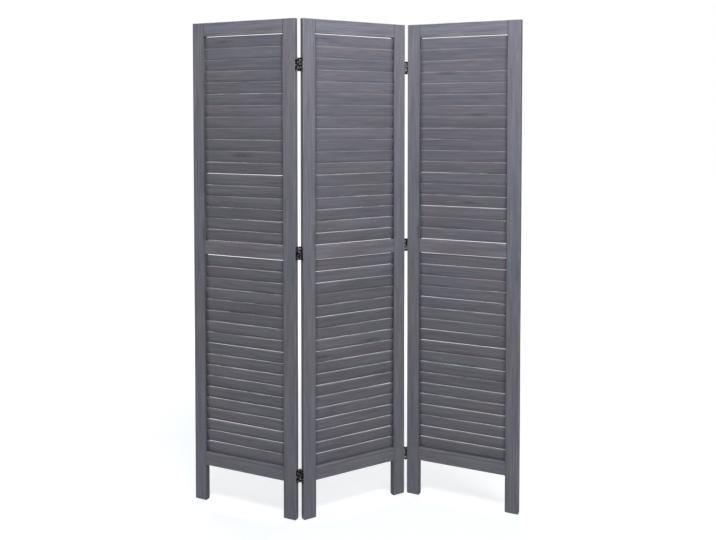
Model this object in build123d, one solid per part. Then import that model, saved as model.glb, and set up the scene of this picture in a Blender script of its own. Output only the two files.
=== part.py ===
from build123d import *
import math
import os

os.makedirs("parts", exist_ok=True)

# Folding screen of three louvred wooden panels joined by butt hinges.
# Millimetres, +Z up, the front towards -Y, the origin on the floor in the middle of the screen.

# Panels
PANEL_HEIGHT = 1650.0
PANEL_WIDTH = 400.0
PANEL_THICKNESS = 19.0
STILE_WIDTH = 46.0
RAIL_HEIGHT = 45.5
BOTTOM_RAIL_Z = 124.5
MIDDLE_RAIL_Z = 860.0
EDGE_RADIUS = 1.0
FOOT_RADIUS = 3.0
FOLD_ANGLE = 56.5

# Louvre slats: the top edge leans to the front
SLATS_PER_BAY = 18
SLAT_WIDTH = 39.05
SLAT_THICKNESS = 5.0
SLAT_TILT = 10.1
SLAT_EDGE_RADIUS = 1.5
HOUSING_DEPTH = 6.0
HOUSING_CLEARANCE = 0.1
UPPER_BAY_GAPS = (2.6, 4.0)
LOWER_BAY_GAPS = (0.8, 2.9)

# How far some slats sit below their even place, by their number from the top of the bay
SLAT_DROPS = {
    ("left", "upper"): {
        6: 0.9, 7: 0.4, 8: 0.5, 9: 0.6, 10: 1.1, 11: 0.7, 12: 0.7, 13: 2.0, 14: 1.7, 15: 1.0,
        16: 1.2, 17: 1.3, 18: 1.1,
    },
    ("left", "lower"): {
        1: 1.0, 2: 1.2, 3: 1.0, 4: 1.2, 5: 1.0, 6: 0.8, 7: 0.8, 8: 0.6, 9: 0.9, 10: 0.8, 11: 0.7,
        12: 0.6, 13: 0.4, 14: 0.4, 16: 0.3,
    },
    ("middle", "upper"): {18: 0.5},
    ("middle", "lower"): {1: -0.4, 2: 0.6, 3: 0.8, 4: 0.3, 5: 0.3, 6: 0.6, 7: 0.3, 8: 0.2, 9: 0.4},
    ("right", "upper"): {13: 0.2, 16: 0.9, 17: 0.6, 18: 0.3},
    ("right", "lower"): {
        2: 0.5, 3: 0.5, 4: 0.1, 5: 0.8, 6: 0.8, 7: 0.2, 8: 0.4, 9: 1.0, 10: 0.5, 11: 0.5, 12: 0.2,
    },
}

# Dowels between rails and stiles
DOWEL_RADIUS = 4.0
DOWEL_LENGTH = 30.0
DOWEL_HOLE_DEPTH = 15.5
DOWEL_CLEARANCE = 0.05
DOWEL_SPACING = 24.0

# Hinges: the pin stands out from the panel's edge and from its face
HINGE_HEIGHT = 44.1
HINGE_Z = {"bottom": 142.5, "middle": 883.0, "top": 1501.0}
KNUCKLES = 7
KNUCKLE_GAP = 0.3
BARREL_RADIUS = 3.2
PIN_RADIUS = 1.6
PIN_CLEARANCE = 0.05
PIN_OUT = BARREL_RADIUS
PIN_PROUD = 4.0
LEAF_WIDTH = 16.5
LEAF_THICKNESS = 1.4
LEAF_CORNER_RADIUS = 2.0

# Hinge screws
SCREW_SPACING = 15.0
SCREW_SHANK_RADIUS = 1.5
SCREW_HEAD_RADIUS = 2.8
SCREW_LENGTH = 14.0
SCREW_TIP_LENGTH = 3.0
SCREW_TIP_RADIUS = 0.2
SCREW_CLEARANCE = 0.05
CROSS_SLOT_WIDTH = 0.7
CROSS_SLOT_DEPTH = 0.6

PANELS = ("left", "middle", "right")
RAILS = {
    "bottom_rail": BOTTOM_RAIL_Z,
    "middle_rail": MIDDLE_RAIL_Z,
    "top_rail": PANEL_HEIGHT - RAIL_HEIGHT,
}
BAYS = {
    "lower": (BOTTOM_RAIL_Z + RAIL_HEIGHT, MIDDLE_RAIL_Z, LOWER_BAY_GAPS),
    "upper": (MIDDLE_RAIL_Z + RAIL_HEIGHT, PANEL_HEIGHT - RAIL_HEIGHT, UPPER_BAY_GAPS),
}


def block(x_range, y_range, z_range):
    """A box between the given limits."""
    low = [min(limits) for limits in (x_range, y_range, z_range)]
    size = [abs(limits[1] - limits[0]) for limits in (x_range, y_range, z_range)]
    return Pos(*low) * Box(*size, align=Align.MIN)


def rod(start, direction, radius, length):
    """A round rod from a start point along a direction."""
    return Plane(origin=start, z_dir=direction) * Cylinder(
        radius, length, align=(Align.CENTER, Align.CENTER, Align.MIN)
    )


def slat_heights(panel, bay):
    """The height of each slat's centre line in one bay, from the top down."""
    bay_bottom, bay_top, (gap_below, gap_above) = BAYS[bay]
    tilt = math.radians(SLAT_TILT)
    face_height = SLAT_WIDTH * math.cos(tilt)
    pitch = (bay_top - bay_bottom - gap_below - gap_above - face_height) / (SLATS_PER_BAY - 1)
    first = bay_top - gap_above - face_height / 2 + SLAT_THICKNESS / 2 * math.sin(tilt)
    drops = SLAT_DROPS[(panel, bay)]
    return [first - pitch * i - drops.get(i + 1, 0) for i in range(SLATS_PER_BAY)]


def slat_bars(panel, bay, x_range, grow=0.0):
    """Bars of the slats' section along x, at every slat's place in one bay."""
    section = RectangleRounded(SLAT_THICKNESS + 2 * grow, SLAT_WIDTH + 2 * grow, SLAT_EDGE_RADIUS + grow)
    bar = extrude(Plane.YZ * Rot(0, 0, SLAT_TILT) * section, x_range[1] - x_range[0])
    depth = PANEL_THICKNESS / 2
    return [Pos(x_range[0], depth, z) * bar for z in slat_heights(panel, bay)]


def dowel_places(rail):
    """The two heights at which dowels enter a rail."""
    centre = RAILS[rail] + RAIL_HEIGHT / 2
    return [centre - DOWEL_SPACING / 2, centre + DOWEL_SPACING / 2]


def dowel_holes(rail, x, direction):
    """The two dowel holes bored from the joint face at x along a direction."""
    radius = DOWEL_RADIUS + DOWEL_CLEARANCE
    starts = [(x, PANEL_THICKNESS / 2, z) for z in dowel_places(rail)]
    return [rod(start, (direction, 0, 0), radius, DOWEL_HOLE_DEPTH) for start in starts]


def stile(panel, side):
    """A full-height upright with its leg, slat housings, dowel holes and screw holes."""
    inner_way = 1 if side == "left" else -1
    outer_x = 0.0 if side == "left" else PANEL_WIDTH
    inner_x = outer_x + inner_way * STILE_WIDTH
    body = block((outer_x, inner_x), (0, PANEL_THICKNESS), (0, PANEL_HEIGHT))
    body = fillet(body.edges().filter_by(Axis.Y).group_by(Axis.Z)[0], FOOT_RADIUS)
    faces = body.faces().sort_by(Axis.Y)
    body = fillet(faces[0].edges() + faces[-1].edges(), EDGE_RADIUS)
    waste = []
    housing_x = sorted((inner_x - inner_way * HOUSING_DEPTH, inner_x + inner_way))
    for bay in BAYS:
        waste += slat_bars(panel, bay, housing_x, HOUSING_CLEARANCE)
    for rail in RAILS:
        waste += dowel_holes(rail, inner_x, -inner_way)
    for joint in joints_on(panel, side):
        waste += screw_holes(joint, panel)
    return body - waste


def rail(name):
    """A cross rail between the stiles, with dowel holes in both ends."""
    x_range = (STILE_WIDTH, PANEL_WIDTH - STILE_WIDTH)
    body = block(x_range, (0, PANEL_THICKNESS), (RAILS[name], RAILS[name] + RAIL_HEIGHT))
    body = fillet(body.edges().filter_by(Axis.X), EDGE_RADIUS)
    return body - dowel_holes(name, x_range[0], 1) - dowel_holes(name, x_range[1], -1)


def dowels(name):
    """The four dowels of one rail, half in the rail and half in the stile."""
    solids = []
    for x in (STILE_WIDTH, PANEL_WIDTH - STILE_WIDTH):
        for z in dowel_places(name):
            start = (x - DOWEL_LENGTH / 2, PANEL_THICKNESS / 2, z)
            solids.append(rod(start, (1, 0, 0), DOWEL_RADIUS, DOWEL_LENGTH))
    return Compound(solids)


def slats(panel, bay):
    """The slats of one bay, their ends seated in the stiles' housings."""
    end = STILE_WIDTH - HOUSING_DEPTH + HOUSING_CLEARANCE
    return Compound(slat_bars(panel, bay, (end, PANEL_WIDTH - end)))


# The pin of the left joint stands behind the panels, and that of the right joint in front of them.
# Around a pin, a leaf is drawn with the wood towards +X and -Y, then mirrored to its panel's side.
def joints_on(panel, side):
    """The joints whose hinges are screwed to one stile."""
    if (panel, side) in (("left", "right"), ("middle", "left")):
        return ["left"]
    if (panel, side) in (("middle", "right"), ("right", "left")):
        return ["right"]
    return []


def pin_place(joint, panel):
    """Where a joint's pin stands in a panel's own frame, and which way the wood lies from it."""
    wood_x = 1 if (joint, panel) in (("left", "middle"), ("right", "right")) else -1
    x = -PIN_OUT if wood_x == 1 else PANEL_WIDTH + PIN_OUT
    y = PANEL_THICKNESS + PIN_PROUD if joint == "left" else -PIN_PROUD
    return x, y, wood_x, joint == "right"


def at_pin(shapes, joint, panel, height):
    """Shapes drawn around a pin, mirrored and moved to that pin in a panel's frame."""
    x, y, wood_x, in_front = pin_place(joint, panel)
    placed = []
    for shape in shapes:
        shape = shape if wood_x == 1 else mirror(shape, about=Plane.YZ)
        shape = mirror(shape, about=Plane.XZ) if in_front else shape
        placed.append(Pos(x, y, height) * shape)
    return placed


def screw_places():
    """Where the screws' axes meet the outside of a leaf, around a pin."""
    y = -PIN_PROUD - LEAF_WIDTH / 2
    return [(PIN_OUT - LEAF_THICKNESS, y, SCREW_SPACING * i) for i in (-1, 0, 1)]


def screw_form(grow=0.0):
    """A countersunk screw along +X from its head's face, or the hole for it when grown."""
    head = SCREW_HEAD_RADIUS + grow
    shank = SCREW_SHANK_RADIUS + grow
    tip_start = SCREW_LENGTH - SCREW_TIP_LENGTH
    end = SCREW_LENGTH + grow
    outline = Polyline(
        (0, 0),
        (0, head),
        (head - shank, shank),
        (tip_start, shank),
        (end, SCREW_TIP_RADIUS + grow),
        (end, 0),
        (0, 0),
    )
    return revolve(make_face(outline), Axis.X)


def screw():
    """One hinge screw with a cross slot in its head."""
    slots = [
        block((0, CROSS_SLOT_DEPTH), (-half_y, half_y), (-half_z, half_z))
        for half_y, half_z in (
            (CROSS_SLOT_WIDTH / 2, SCREW_HEAD_RADIUS / 2),
            (SCREW_HEAD_RADIUS / 2, CROSS_SLOT_WIDTH / 2),
        )
    ]
    return screw_form() - slots


def screws(panel, joint):
    """All screws of one joint's leaves on one panel."""
    drawn = [Pos(*place) * screw() for place in screw_places()]
    return Compound([solid for z in HINGE_Z.values() for solid in at_pin(drawn, joint, panel, z)])


def screw_holes(joint, panel):
    """The screws' pilot holes in a stile."""
    drawn = [Pos(*place) * screw_form(SCREW_CLEARANCE) for place in screw_places()]
    return [hole for z in HINGE_Z.values() for hole in at_pin(drawn, joint, panel, z)]


def hinge_leaf(first_knuckle):
    """A leaf around its pin: a plate on the wood's edge and every second knuckle of the barrel."""
    plate_x = (PIN_OUT - LEAF_THICKNESS, PIN_OUT)
    half = HINGE_HEIGHT / 2
    plate = block(plate_x, (-PIN_PROUD - LEAF_WIDTH, -PIN_PROUD), (-half, half))
    far_edges = plate.edges().filter_by(Axis.X).sort_by(Axis.Y)[:2]
    leaf = fillet(far_edges, LEAF_CORNER_RADIUS)
    pitch = HINGE_HEIGHT / KNUCKLES
    for i in range(first_knuckle, KNUCKLES, 2):
        low = -half + pitch * i + (KNUCKLE_GAP / 2 if i > 0 else 0)
        high = -half + pitch * (i + 1) - (KNUCKLE_GAP / 2 if i < KNUCKLES - 1 else 0)
        leaf += block(plate_x, (-PIN_PROUD, 0), (low, high))
        leaf += rod((0, 0, low), (0, 0, 1), BARREL_RADIUS, high - low)
    leaf -= rod((0, 0, -half), (0, 0, 1), PIN_RADIUS + PIN_CLEARANCE, HINGE_HEIGHT)
    return leaf - [Pos(*place) * screw_form(SCREW_CLEARANCE) for place in screw_places()]


def panel_frame(panel):
    """The place of a panel's own frame: x along its width, y from front to back."""
    middle = Rot(0, 0, FOLD_ANGLE / 2) * Pos(-PANEL_WIDTH / 2, -PANEL_THICKNESS / 2, 0)
    if panel == "middle":
        return middle
    x, y, _, _ = pin_place(panel, "middle")
    pin = (middle * Pos(x, y, 0)).position
    x, y, _, _ = pin_place(panel, panel)
    return Pos(pin.X, pin.Y, 0) * Rot(0, 0, -FOLD_ANGLE / 2) * Pos(-x, -y, 0)


def write(shape, name, panel):
    """Put a shape drawn in a panel's frame in its place and write it as one part."""
    export_step(panel_frame(panel) * shape, f"parts/{name}.step")


for panel in PANELS:
    for side in ("left", "right"):
        write(stile(panel, side), f"{panel}_panel_{side}_stile", panel)
    for name in RAILS:
        write(rail(name), f"{panel}_panel_{name}", panel)
        write(dowels(name), f"{panel}_panel_{name}_dowels", panel)
    for bay in BAYS:
        write(slats(panel, bay), f"{panel}_panel_{bay}_slats", panel)

for joint in ("left", "right"):
    for owner, first_knuckle in (("middle", 0), (joint, 1)):
        write(screws(owner, joint), f"{joint}_joint_{owner}_panel_screws", owner)
        for height, z in HINGE_Z.items():
            leaf = at_pin([hinge_leaf(first_knuckle)], joint, owner, z)[0]
            write(leaf, f"{joint}_joint_{height}_hinge_{owner}_leaf", owner)
    for height, z in HINGE_Z.items():
        x, y, _, _ = pin_place(joint, "middle")
        pin = rod((x, y, z - HINGE_HEIGHT / 2), (0, 0, 1), PIN_RADIUS, HINGE_HEIGHT)
        write(pin, f"{joint}_joint_{height}_hinge_pin", "middle")

for joint in ("left", "right"):
    x, y, _, _ = pin_place(joint, "middle")
    place = (panel_frame("middle") * Pos(x, y, 0)).position
    print(f"{joint} joint axis: {place.X:.4f}, {place.Y:.4f}")
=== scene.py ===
import math
import random

import bpy
from mathutils import Matrix, Vector


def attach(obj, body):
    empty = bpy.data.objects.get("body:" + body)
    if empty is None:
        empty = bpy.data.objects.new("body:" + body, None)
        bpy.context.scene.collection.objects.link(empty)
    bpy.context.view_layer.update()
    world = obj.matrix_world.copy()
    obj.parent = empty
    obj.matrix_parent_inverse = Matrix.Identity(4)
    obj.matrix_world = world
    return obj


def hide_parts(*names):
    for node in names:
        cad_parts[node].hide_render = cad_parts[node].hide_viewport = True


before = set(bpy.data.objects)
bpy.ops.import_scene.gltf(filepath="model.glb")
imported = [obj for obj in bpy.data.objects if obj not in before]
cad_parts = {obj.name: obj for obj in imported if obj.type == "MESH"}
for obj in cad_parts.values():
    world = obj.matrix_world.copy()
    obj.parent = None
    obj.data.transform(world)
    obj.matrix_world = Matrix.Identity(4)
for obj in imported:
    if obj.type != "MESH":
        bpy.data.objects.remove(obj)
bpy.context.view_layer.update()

# Metres. A panel's own frame has x along its width, y from its front to its back and z up.
PANEL_WIDTH = 0.4
PANEL_THICKNESS = 0.019
STILE_WIDTH = 0.046
BAY_WIDTH = PANEL_WIDTH - 2 * STILE_WIDTH
HALF_FOLD = math.radians(28.25)
PIN_OUT = 0.0032
PIN_PROUD = 0.004

RAIL_HEIGHT = 0.0455
RAILS = {"bottom_rail": 0.1245, "middle_rail": 0.860, "top_rail": 1.6045}

# Louvre slats
SLATS_PER_BAY = 18
SLAT_WIDTH = 0.03905
SLAT_THICKNESS = 0.005
SLAT_TILT = math.radians(10.1)
SLAT_END = STILE_WIDTH - 0.0059
SLAT_EDGE_RADIUS = 0.0015
CUTS_ALONG_SLAT = 24
CUTS_ACROSS_SLAT = 3
# Each bay's bottom and top, and the gaps below its last slat and above its first
BAYS = {
    "lower": (RAILS["bottom_rail"] + RAIL_HEIGHT, RAILS["middle_rail"], 0.0008, 0.0029),
    "upper": (RAILS["middle_rail"] + RAIL_HEIGHT, RAILS["top_rail"], 0.0026, 0.004),
}
# How far some slats sit below their even place, or above it where negative, by their number
# from the top of the bay
SLAT_DROPS = {
    ("left", "upper"): {
        6: 0.0009, 7: 0.0004, 8: 0.0005, 9: 0.0006, 10: 0.0011, 11: 0.0007, 12: 0.0007, 13: 0.002,
        14: 0.0017, 15: 0.001, 16: 0.0012, 17: 0.0013, 18: 0.0011,
    },
    ("left", "lower"): {
        1: 0.001, 2: 0.0012, 3: 0.001, 4: 0.0012, 5: 0.001, 6: 0.0008, 7: 0.0008, 8: 0.0006,
        9: 0.0009, 10: 0.0008, 11: 0.0007, 12: 0.0006, 13: 0.0004, 14: 0.0004, 16: 0.0003,
    },
    ("middle", "upper"): {18: 0.0005},
    ("middle", "lower"): {
        1: -0.0004, 2: 0.0006, 3: 0.0008, 4: 0.0003, 5: 0.0003, 6: 0.0006, 7: 0.0003, 8: 0.0002,
        9: 0.0004,
    },
    ("right", "upper"): {13: 0.0002, 16: 0.0009, 17: 0.0006, 18: 0.0003},
    ("right", "lower"): {
        2: 0.0005, 3: 0.0005, 4: 0.0001, 5: 0.0008, 6: 0.0008, 7: 0.0002, 8: 0.0004, 9: 0.001,
        10: 0.0005, 11: 0.0005, 12: 0.0002,
    },
}
# How unevenly a slat is seated: its height, its slope over half a panel and its lean in degrees
SEATING_PLAY = 0.00015
SLOPE_PLAY = 0.0003
LEAN_PLAY = 0.5
# The slight bows in the slats' faces: their height and their length
WAVINESS = 0.0005
WAVE_LENGTH = 0.045
SHARP_ANGLE = math.radians(40)

# The photograph's camera
PICTURE_WIDTH = 716
FOCAL_PIXELS = 845.8
HORIZON_OFFSET_PIXELS = 120.2
SENSOR = 36.0
CAMERA_PLACE = (-0.1457, -2.8541, 1.3211)
CAMERA_TURN = math.radians(-3.163)
CAMERA_PITCH = math.radians(-2.037)


def panel_frame(panel):
    """Where a panel's own frame stands in the screen."""
    middle = Matrix.Rotation(HALF_FOLD, 4, "Z") @ Matrix.Translation(
        (-PANEL_WIDTH / 2, -PANEL_THICKNESS / 2, 0)
    )
    if panel == "middle":
        return middle
    left = panel == "left"
    on_middle = Vector((-PIN_OUT, PANEL_THICKNESS + PIN_PROUD, 0))
    on_panel = Vector((PANEL_WIDTH + PIN_OUT, PANEL_THICKNESS + PIN_PROUD, 0))
    if not left:
        on_middle = Vector((PANEL_WIDTH + PIN_OUT, -PIN_PROUD, 0))
        on_panel = Vector((-PIN_OUT, -PIN_PROUD, 0))
    turned = Matrix.Rotation(-HALF_FOLD, 4, "Z") @ Matrix.Translation(-on_panel)
    return Matrix.Translation(middle @ on_middle) @ turned


# Shader arithmetic


def srgb(red, green, blue):
    """A shader colour from the values that a screen shows."""
    linear = [c / 12.92 if c <= 0.04045 else ((c + 0.055) / 1.055) ** 2.4 for c in (red, green, blue)]
    return (*linear, 1.0)


class Value:
    """A shader socket that takes part in sums as a number does."""

    def __init__(self, finish, socket):
        self.finish = finish
        self.socket = socket

    def calculate(self, operation, *values):
        return self.finish.node("ShaderNodeMath", {"operation": operation}, dict(enumerate(values)))

    def __add__(self, other):
        return self.calculate("ADD", self, other)

    def __sub__(self, other):
        return self.calculate("SUBTRACT", self, other)

    def __mul__(self, other):
        return self.calculate("MULTIPLY", self, other)

    def __abs__(self):
        return self.calculate("ABSOLUTE", self)

    __radd__ = __add__

    def floor(self):
        return self.calculate("FLOOR", self)

    def sine(self):
        return self.calculate("SINE", self)

    def ramp(self, low, high):
        """0 below low, 1 above high and smooth between; turned round when low is above high."""
        return self.finish.node(
            "ShaderNodeMapRange",
            {"interpolation_type": "SMOOTHSTEP"},
            {"Value": self, "From Min": low, "From Max": high},
        )


class Finish:
    """A material under construction."""

    def __init__(self, name):
        self.material = bpy.data.materials.new(name)
        self.material.use_nodes = True
        self.tree = self.material.node_tree
        self.tree.nodes.clear()

    def node(self, kind, settings=None, inputs=None, output=0):
        """Adds one node, sets it, feeds its sockets and gives one of its outputs."""
        made = self.tree.nodes.new(kind)
        for name, value in (settings or {}).items():
            setattr(made, name, value)
        for name, value in (inputs or {}).items():
            if isinstance(value, Value):
                self.tree.links.new(value.socket, made.inputs[name])
            else:
                made.inputs[name].default_value = value
        return Value(self, made.outputs[output])

    def mix(self, factor, first, second):
        """A colour between two colours."""
        return self.node("ShaderNodeMix", {"data_type": "RGBA"}, {0: factor, 6: first, 7: second}, 2)

    def stretch(self, vector, scale):
        """A vector scaled along each of its axes."""
        return self.node("ShaderNodeVectorMath", {"operation": "MULTIPLY"}, {0: vector, 1: scale})

    def noise(self, vector, scale, detail=2.0, roughness=0.5, distortion=0.0):
        """Noise, from 0 to 1, with its own scale along each axis."""
        return self.node(
            "ShaderNodeTexNoise",
            None,
            {
                "Vector": self.stretch(vector, scale),
                "Scale": 1.0,
                "Detail": detail,
                "Roughness": roughness,
                "Distortion": distortion,
            },
        )

    def close(self, shader):
        """Ends the material in a shader."""
        end = self.tree.nodes.new("ShaderNodeOutputMaterial")
        self.tree.links.new(shader.socket, end.inputs["Surface"])
        return self.material

    def surface(self, inputs):
        """Ends the material in the surface shader, with some of its sockets fed."""
        return self.close(self.node("ShaderNodeBsdfPrincipled", None, inputs))


# Wood

WASH = srgb(0.440, 0.432, 0.461)
WASH_BLUE = srgb(0.427, 0.430, 0.470)
WASH_PLUM = srgb(0.451, 0.425, 0.456)
WASH_THIN = srgb(0.545, 0.533, 0.562)
WASH_DEEP = srgb(0.318, 0.304, 0.328)
# Painted shade for the recess where the slats meet the stiles
PAINTED_RECESS_SHADE = srgb(0.265, 0.262, 0.292)
BARE_WOOD = srgb(0.500, 0.400, 0.375)
# Light colour of scuffed edges, also a painted highlight along them
RUBBED_EDGE_AND_HIGHLIGHT = srgb(0.645, 0.602, 0.585)
KNOT = srgb(0.290, 0.252, 0.262)


def washed_wood(name, along_board, edge_mask, recess_shade_mask=None, tone=None, edge_rub_and_highlight=0.45):
    """Grey-washed wood.

    along_board gives a vector along, across and through the board, edge_mask says how near a
    point is to the board's sharp edges, recess_shade_mask how near it is to the recess by the
    slats, where shade is painted, and tone how light its board is, all from 0 to 1.
    """
    finish = Finish(name)
    board = along_board(finish)
    patches = finish.noise(board, (4.0, 14.0, 14.0), 3.0, 0.55)
    hue = finish.noise(board, (2.5, 9.0, 9.0), 1.0)
    bend = finish.noise(board, (5.0, 30.0, 30.0), 2.0)
    streaks = finish.noise(board, (3.5, 75.0, 75.0), 3.0, 0.6, 0.3)
    grain = finish.noise(board, (7.0, 300.0, 300.0), 5.0, 0.65, 0.6)
    brush = finish.noise(board, (9.0, 130.0, 130.0), 4.0, 0.6)
    pores = finish.noise(board, (110.0, 1500.0, 1500.0), 2.0)
    edges = edge_mask(finish, board)

    colour = finish.mix(hue.ramp(0.40, 0.62), WASH_BLUE, WASH_PLUM)
    colour = finish.mix(patches.ramp(0.35, 0.70) * 0.6, colour, WASH)
    colour = finish.mix(streaks.ramp(0.50, 0.68) * 0.26, colour, WASH_THIN)
    colour = finish.mix(streaks.ramp(0.50, 0.33) * 0.32, colour, WASH_DEEP)
    colour = finish.mix(brush.ramp(0.50, 0.72) * 0.34, colour, WASH_THIN)
    colour = finish.mix(grain.ramp(0.49, 0.66) * 0.55, colour, WASH_DEEP)
    colour = finish.mix(patches.ramp(0.48, 0.28) * 0.26, colour, WASH_DEEP)

    # Knots: rings of darker wood, few and far apart
    spread = finish.stretch(board, (3.1, 19.0, 19.0))
    nearest = finish.node(
        "ShaderNodeTexVoronoi",
        {"feature": "F1"},
        {"Vector": spread, "Scale": 1.0, "Randomness": 1.0},
    )
    eye = nearest.ramp(0.17, 0.03)
    rings = (nearest * 95.0 + bend * 5.0).sine() * 0.5 + 0.5
    colour = finish.mix(eye * (rings * 0.45 + 0.35), colour, KNOT)

    # The wash is scuffed through on the edges, which are lighter also as a painted highlight where
    # they catch the light, and in a few warm smudges
    smudge = finish.noise(board, (7.0, 26.0, 26.0), 3.0, 0.6)
    worn_and_highlit = edges * (brush * 0.6 + smudge * 0.7).ramp(0.50, 0.80)
    colour = finish.mix(worn_and_highlit * edge_rub_and_highlight, colour, RUBBED_EDGE_AND_HIGHLIGHT)
    colour = finish.mix((edges * 0.75 + 0.25) * smudge.ramp(0.60, 0.74) * 0.50, colour, BARE_WOOD)
    # Painted shade in the recess where the slats meet the stiles, darkest at the stiles' inner edges
    # and the slats' ends
    if recess_shade_mask:
        shade_in_recess = recess_shade_mask(finish, board) * (brush * 0.5 + bend * 0.8).ramp(0.30, 0.68)
        colour = finish.mix(shade_in_recess * 0.9, colour, PAINTED_RECESS_SHADE)
    if tone:
        lightness = tone(finish, board)
        colour = finish.mix(lightness.ramp(0.55, 1.0) * 0.10, colour, WASH_THIN)
        colour = finish.mix(lightness.ramp(0.60, 0.0) * 0.20, colour, WASH_DEEP)

    relief = grain * -0.5 + pores.ramp(0.62, 0.80) * -0.7 + brush * 0.25 + eye * rings * -0.4
    bump = finish.node(
        "ShaderNodeBump",
        None,
        {"Height": relief, "Strength": 0.35, "Distance": 0.0004},
    )
    roughness = 0.56 + grain * 0.14 + patches * 0.10
    return finish.surface({"Base Color": colour, "Roughness": roughness, "Normal": bump})


def in_panel(panel, order):
    """Object coordinates turned into a panel's own frame, with its axes in the board's order."""

    def vector(finish):
        inverse = panel_frame(panel).inverted()
        placed = finish.node(
            "ShaderNodeMapping",
            {"vector_type": "POINT"},
            {
                "Vector": finish.node("ShaderNodeTexCoord", output="Object"),
                "Location": inverse.translation,
                "Rotation": inverse.to_euler(),
            },
        )
        parts = [finish.node("ShaderNodeSeparateXYZ", None, {0: placed}, axis) for axis in "XYZ"]
        ordered = dict(enumerate(parts["xyz".index(axis)] for axis in order))
        return finish.node("ShaderNodeCombineXYZ", None, ordered)

    return vector


# How far the scuffed edges and their painted highlight reach over a board's face
EDGE_BAND = 0.0045


def box_edges(across_places, half_width, half_thickness, through_middle):
    """How near a point is to the long edges of boards that stand side by side."""

    def mask(finish, board):
        across = finish.node("ShaderNodeSeparateXYZ", None, {0: board}, "Y")
        through = finish.node("ShaderNodeSeparateXYZ", None, {0: board}, "Z")
        off_middle = abs(across - across_places[0])
        if len(across_places) == 2:
            middle = sum(across_places) / 2
            off_middle = abs(abs(across - middle) - (across_places[1] - middle))
        side = off_middle.ramp(half_width - EDGE_BAND, half_width)
        face = abs(through - through_middle).ramp(half_thickness - EDGE_BAND, half_thickness)
        return side * face

    return mask


# How far the painted shade of the recess reaches from a stile's inner edge over the stile and over a
# slat's end
SHADE_ON_STILE = 0.0045
SHADE_ON_SLAT = 0.016
# Where it is deepest: short of the edge on the stile, past the bay's side on the slat
DEEPEST_ON_STILE = 0.0005
DEEPEST_ON_SLAT = 0.003


def stile_recess_shade(finish, board):
    """How near a point of a stile is to its inner edge, where the slats meet it and shade is painted
    in the recess.
    """
    across = finish.node("ShaderNodeSeparateXYZ", None, {0: board}, "Y")
    off_edge = abs(abs(across - PANEL_WIDTH / 2) - (PANEL_WIDTH / 2 - STILE_WIDTH))
    return off_edge.ramp(SHADE_ON_STILE, DEEPEST_ON_STILE)


def stile_wood(panel):
    """The wood of a panel's two stiles."""
    edges = box_edges(
        (STILE_WIDTH / 2, PANEL_WIDTH - STILE_WIDTH / 2),
        STILE_WIDTH / 2,
        PANEL_THICKNESS / 2,
        PANEL_THICKNESS / 2,
    )
    return washed_wood(f"{panel}_stile_wood", in_panel(panel, "zxy"), edges, stile_recess_shade)


def rail_wood(panel, rail):
    """The wood of one rail."""
    edges = box_edges(
        (RAILS[rail] + RAIL_HEIGHT / 2,),
        RAIL_HEIGHT / 2,
        PANEL_THICKNESS / 2,
        PANEL_THICKNESS / 2,
    )
    return washed_wood(f"{panel}_{rail}_wood", in_panel(panel, "xzy"), edges)


# How far apart the slats' boards lie in the grain, so that no two slats look alike
BOARD_STEP = 0.5


def slat_wood():
    """The wood of the slats, which carry their own board coordinates."""

    def vector(finish):
        return finish.node("ShaderNodeAttribute", {"attribute_name": "board"}, None, "Vector")

    def tone(finish, board):
        along = finish.node("ShaderNodeSeparateXYZ", None, {0: board}, "X")
        number = (along * (1 / BOARD_STEP)).floor()
        return finish.node("ShaderNodeTexWhiteNoise", {"noise_dimensions": "1D"}, {"W": number})

    # Painted shade on the slats' ends, in the recess beside the stiles
    def ends(finish, board):
        along = finish.node("ShaderNodeSeparateXYZ", None, {0: board}, "X")
        middle = (along * (1 / BOARD_STEP)).floor() * BOARD_STEP + BOARD_STEP / 2
        side = BAY_WIDTH / 2
        return abs(along - middle).ramp(side - SHADE_ON_SLAT, side + DEEPEST_ON_SLAT) * 0.8

    edges = box_edges((0.0,), SLAT_WIDTH / 2, SLAT_THICKNESS / 2, 0.0)
    # The slats' edges are lighter still, as a painted highlight where their top edges catch the light
    return washed_wood("slat_wood", vector, edges, ends, tone, edge_rub_and_highlight=0.6)


def plain_wood():
    """Bare beech for the hidden dowels, with fine lengthwise grain."""
    finish = Finish("dowel_wood")
    board = finish.node("ShaderNodeTexCoord", output="Object")
    grain = finish.noise(board, (60.0, 60.0, 900.0), 3.0)
    colour = finish.mix(grain.ramp(0.35, 0.7), srgb(0.78, 0.65, 0.48), srgb(0.68, 0.53, 0.37))
    return finish.surface({"Base Color": colour, "Roughness": 0.6 + grain * 0.1})


def black_metal(name, gloss, glint_amount):
    """Black lacquered steel with painted glints: light, partly metallic specks of a few millimetres
    that stand in for highlights.
    """
    finish = Finish(name)
    place = finish.node("ShaderNodeTexCoord", output="Object")
    mottle = finish.noise(place, (260.0, 260.0, 260.0), 3.0)
    glint_noise = finish.noise(place, (130.0, 130.0, 200.0), 2.0)
    painted_glints = glint_noise.ramp(0.59, 0.615) * glint_amount
    colour = finish.mix(mottle.ramp(0.3, 0.7), srgb(0.035, 0.030, 0.032), srgb(0.065, 0.056, 0.060))
    # Painted glints: light specks that stand in for highlights on the hinge
    colour = finish.mix(painted_glints, colour, srgb(0.80, 0.75, 0.75))
    bump = finish.node("ShaderNodeBump", None, {"Height": mottle, "Strength": 0.2, "Distance": 0.0001})
    return finish.surface(
        {
            "Base Color": colour,
            "Metallic": painted_glints * 0.35,
            "Roughness": gloss + mottle * 0.15,
            "Specular IOR Level": 0.2,
            "Normal": bump,
        }
    )


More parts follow.
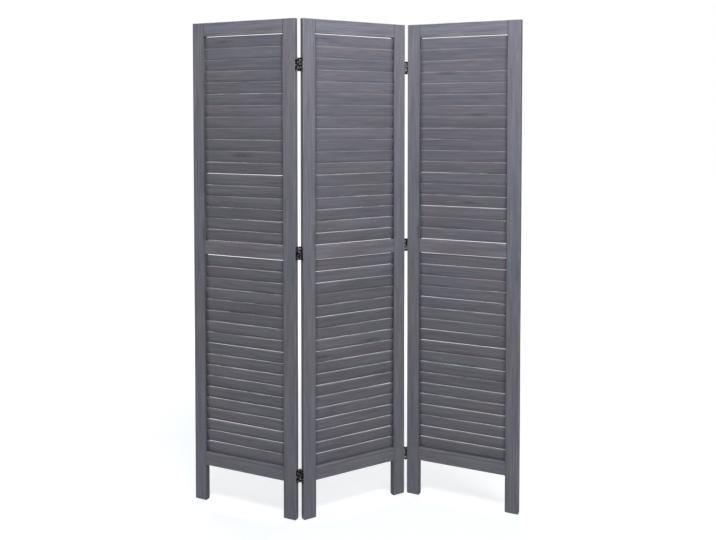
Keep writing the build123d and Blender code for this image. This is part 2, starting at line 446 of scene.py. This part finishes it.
def pin_steel():
    """Drawn steel of the hinge pins."""
    finish = Finish("pin_steel")
    place = finish.node("ShaderNodeTexCoord", output="Object")
    drawn = finish.noise(place, (1600.0, 1600.0, 40.0), 2.0)
    colour = finish.mix(drawn, srgb(0.34, 0.33, 0.33), srgb(0.46, 0.45, 0.44))
    return finish.surface({"Base Color": colour, "Metallic": 1.0, "Roughness": 0.32 + drawn * 0.14})


# Louvre slats


def only(*objects):
    """Selects these objects and nothing else."""
    bpy.ops.object.select_all(action="DESELECT")
    for obj in objects:
        obj.select_set(True)
    bpy.context.view_layer.objects.active = objects[0]


def select_edges(obj, wanted):
    """Selects only the edges whose two ends pass a test, and stays in edit mode."""
    bpy.ops.object.mode_set(mode="EDIT")
    bpy.ops.mesh.select_mode(type="EDGE")
    bpy.ops.mesh.select_all(action="DESELECT")
    bpy.ops.object.mode_set(mode="OBJECT")
    points = obj.data.vertices
    for edge in obj.data.edges:
        edge.select = wanted(points[edge.vertices[0]].co, points[edge.vertices[1]].co)
    bpy.ops.object.mode_set(mode="EDIT")


def model_slat():
    """One slat lying along x about the origin: y through it, z across it."""
    length = PANEL_WIDTH - 2 * SLAT_END
    bpy.ops.object.select_all(action="DESELECT")
    bpy.ops.mesh.primitive_cube_add(size=1.0, scale=(length, SLAT_THICKNESS, SLAT_WIDTH))
    slat = bpy.context.object
    slat.name = "slat_pattern"

    def runs_along(a, b):
        return abs(a.x - b.x) > length / 2

    def runs_across(a, b):
        return abs(a.z - b.z) > SLAT_WIDTH / 2 and abs(a.x - b.x) < SLAT_EDGE_RADIUS

    select_edges(slat, runs_along)
    bpy.ops.mesh.bevel(offset=SLAT_EDGE_RADIUS, segments=3, affect="EDGES")
    bpy.ops.object.mode_set(mode="OBJECT")
    select_edges(slat, runs_along)
    bpy.ops.mesh.subdivide(number_cuts=CUTS_ALONG_SLAT)
    bpy.ops.object.mode_set(mode="OBJECT")
    select_edges(slat, runs_across)
    bpy.ops.mesh.subdivide(number_cuts=CUTS_ACROSS_SLAT)
    bpy.ops.object.mode_set(mode="OBJECT")
    bpy.ops.object.transform_apply(location=True, rotation=True, scale=True)
    return slat


def slat_heights(panel, bay):
    """The height of each slat's centre line in one bay, from the top down."""
    bottom, top, gap_below, gap_above = BAYS[bay]
    face_height = SLAT_WIDTH * math.cos(SLAT_TILT)
    pitch = (top - bottom - gap_below - gap_above - face_height) / (SLATS_PER_BAY - 1)
    first = top - gap_above - face_height / 2 + SLAT_THICKNESS / 2 * math.sin(SLAT_TILT)
    drops = SLAT_DROPS[(panel, bay)]
    return [first - pitch * i - drops.get(i + 1, 0) for i in range(SLATS_PER_BAY)]


def carry_board_coordinates(mesh, number):
    """Stores where each point lies along, across and through its own board."""
    attribute = mesh.attributes.new("board", "FLOAT_VECTOR", "POINT")
    start = (number + 0.5) * BOARD_STEP
    for point, stored in zip(mesh.vertices, attribute.data):
        stored.vector = (start + point.co.x, point.co.z, point.co.y)


def hang_slats(pattern, panel, bay, draw, first_number):
    """Fills one bay with copies of the slat, each seated a little differently."""
    hung = []
    for i, height in enumerate(slat_heights(panel, bay)):
        slat = pattern.copy()
        slat.data = pattern.data.copy()
        bpy.context.scene.collection.objects.link(slat)
        carry_board_coordinates(slat.data, first_number + i)
        if draw.random() < 0.5:
            slat.data.transform(Matrix.Rotation(math.pi, 4, "Y"))
        if draw.random() < 0.5:
            slat.data.transform(Matrix.Rotation(math.pi, 4, "Z"))
        play = draw.uniform(-SEATING_PLAY, SEATING_PLAY)
        slope = draw.uniform(-SLOPE_PLAY, SLOPE_PLAY) / (PANEL_WIDTH / 2)
        lean = SLAT_TILT + math.radians(draw.uniform(-LEAN_PLAY, LEAN_PLAY))
        slat.data.transform(
            panel_frame(panel)
            @ Matrix.Translation((PANEL_WIDTH / 2, PANEL_THICKNESS / 2, height + play))
            @ Matrix.Rotation(slope, 4, "Y")
            @ Matrix.Rotation(lean, 4, "X")
        )
        hung.append(slat)
    only(*hung)
    bpy.ops.object.join()
    bay_slats = hung[0]
    bay_slats.name = f"{panel}_panel_{bay}_louvres"
    waves = bpy.data.textures.new(f"{bay_slats.name}_waves", "CLOUDS")
    waves.noise_scale = WAVE_LENGTH
    bow = bay_slats.modifiers.new("waves", "DISPLACE")
    bow.texture = waves
    bow.texture_coords = "LOCAL"
    bow.strength = WAVINESS
    bpy.ops.object.modifier_apply(modifier=bow.name)
    bpy.ops.object.shade_smooth_by_angle(angle=SHARP_ANGLE)
    flat_faces = bay_slats.modifiers.new("flat_faces", "WEIGHTED_NORMAL")
    flat_faces.weight = 100
    flat_faces.keep_sharp = True
    bpy.ops.object.modifier_apply(modifier=flat_faces.name)
    return bay_slats


wood = slat_wood()
pattern = model_slat()
draw = random.Random(7)
number = 0
for panel in ("left", "middle", "right"):
    for bay in BAYS:
        louvres = hang_slats(pattern, panel, bay, draw, number)
        number += SLATS_PER_BAY
        louvres.data.materials.clear()
        louvres.data.materials.append(wood)
        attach(louvres, f"{panel}_panel")
        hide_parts(f"{panel}_panel_{bay}_slats")
bpy.data.objects.remove(pattern)


# Finishes of the other pieces


def dress(node, material):
    """Gives a piece of the frame its material."""
    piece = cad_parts[node]
    piece.data.materials.clear()
    piece.data.materials.append(material)


# The last number is how much of the painted glints each gets
leaf_metal = black_metal("hinge_lacquer", 0.30, 0.8)
screw_metal = black_metal("screw_lacquer", 0.28, 0.9)
steel = pin_steel()
beech = plain_wood()
stiles = {panel: stile_wood(panel) for panel in ("left", "middle", "right")}
for node in sorted(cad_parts):
    panel = node.split("_")[0]
    if node.endswith("_slats"):
        continue
    if node.endswith("_stile"):
        dress(node, stiles[panel])
    elif node.endswith("_rail"):
        dress(node, rail_wood(panel, node.split("_panel_")[1]))
    elif node.endswith("_dowels"):
        dress(node, beech)
    elif node.endswith("_screws"):
        dress(node, screw_metal)
    elif node.endswith("_pin"):
        dress(node, steel)
    else:
        dress(node, leaf_metal)


# Floor, light and camera

FLOOR_SIZE = 60.0
FLOOR_DROP = 0.0005
FLOOR_GREY = 0.75
# The floor's own white, under the screen and away from it, and where it goes from one to the other
NEAR_LIFT = 0.42
FAR_LIFT = 0.84
NEAR_END = 0.9
FAR_START = 2.6
# The world's light on everything that the camera doesn't see straight
SOFT_LIGHT = 0.22


def floor_finish():
    """A pale floor lifted to white, less so under the screen, so that its shadow shows there."""
    finish = Finish("pale_floor")
    seen = finish.node("ShaderNodeLightPath", output="Is Camera Ray")
    mirrored = finish.node("ShaderNodeLightPath", output="Is Glossy Ray")
    through = finish.node("ShaderNodeLightPath", output="Is Transmission Ray")
    grey = (FLOOR_GREY, FLOOR_GREY, FLOOR_GREY, 1)
    diffuse = finish.node("ShaderNodeBsdfDiffuse", None, {"Color": grey})
    place = finish.node("ShaderNodeTexCoord", output="Object")
    from_middle = finish.node("ShaderNodeVectorMath", {"operation": "LENGTH"}, {0: place}, "Value")
    lift = from_middle.ramp(NEAR_END, FAR_START) * (FAR_LIFT - NEAR_LIFT) + NEAR_LIFT
    strength = (seen + mirrored + through).ramp(0.0, 1.0) * lift
    glow = finish.node("ShaderNodeEmission", None, {"Color": (1, 1, 1, 1), "Strength": strength})
    return finish.close(finish.node("ShaderNodeAddShader", None, {0: diffuse, 1: glow}))


bpy.ops.object.select_all(action="DESELECT")
bpy.ops.mesh.primitive_plane_add(size=FLOOR_SIZE, location=(0, 0, -FLOOR_DROP))
floor = bpy.context.object
floor.name = "floor"
floor.data.materials.append(floor_finish())


def build_world():
    """White where the camera looks, and an even soft light for everything else."""
    world = bpy.data.worlds.new("studio")
    bpy.context.scene.world = world
    world.use_nodes = True
    tree = world.node_tree
    tree.nodes.clear()
    path = tree.nodes.new("ShaderNodeLightPath")
    shown = tree.nodes.new("ShaderNodeMath")
    shown.operation = "MAXIMUM"
    tree.links.new(path.outputs["Is Camera Ray"], shown.inputs[0])
    tree.links.new(path.outputs["Is Transmission Ray"], shown.inputs[1])
    strength = tree.nodes.new("ShaderNodeMix")
    strength.inputs[2].default_value = SOFT_LIGHT
    strength.inputs[3].default_value = 1.0
    tree.links.new(shown.outputs[0], strength.inputs[0])
    background = tree.nodes.new("ShaderNodeBackground")
    background.inputs["Color"].default_value = (1, 1, 1, 1)
    tree.links.new(strength.outputs[0], background.inputs["Strength"])
    output = tree.nodes.new("ShaderNodeOutputWorld")
    tree.links.new(background.outputs[0], output.inputs["Surface"])


def area_light(name, place, aim, size, power, colour=(1.0, 1.0, 1.0)):
    """A large soft lamp turned towards a point."""
    lamp = bpy.data.lights.new(name, "AREA")
    lamp.shape = "RECTANGLE"
    lamp.size = size[0]
    lamp.size_y = size[1]
    lamp.energy = power
    lamp.color = colour
    obj = bpy.data.objects.new(name, lamp)
    obj.location = place
    obj.rotation_euler = (Vector(aim) - Vector(place)).to_track_quat("-Z", "Y").to_euler()
    obj.visible_camera = False
    bpy.context.scene.collection.objects.link(obj)


# The slightly cool light from above
SKY_WHITE = (0.90, 0.955, 1.0)
build_world()
area_light("top_front_lamp", (0.2, -1.3, 2.9), (0.1, 0, 1.2), (2.4, 0.6), 65.0, SKY_WHITE)
area_light("key_lamp", (1.5, -2.6, 3.0), (0.2, 0, 1.3), (1.6, 1.2), 12.0)
area_light("top_back_lamp", (-0.2, 1.3, 2.9), (-0.1, 0, 1.2), (2.4, 0.6), 46.0, SKY_WHITE)

camera_data = bpy.data.cameras.new("camera")
camera_data.sensor_width = SENSOR
camera_data.lens = FOCAL_PIXELS / PICTURE_WIDTH * SENSOR
camera_data.shift_y = -HORIZON_OFFSET_PIXELS / PICTURE_WIDTH
camera = bpy.data.objects.new("camera", camera_data)
camera.location = CAMERA_PLACE
camera.rotation_euler = (math.pi / 2 + CAMERA_PITCH, 0.0, CAMERA_TURN)
bpy.context.scene.collection.objects.link(camera)
bpy.context.scene.camera = camera
bpy.context.scene.view_settings.view_transform = "Standard"

bpy.context.view_layer.update()
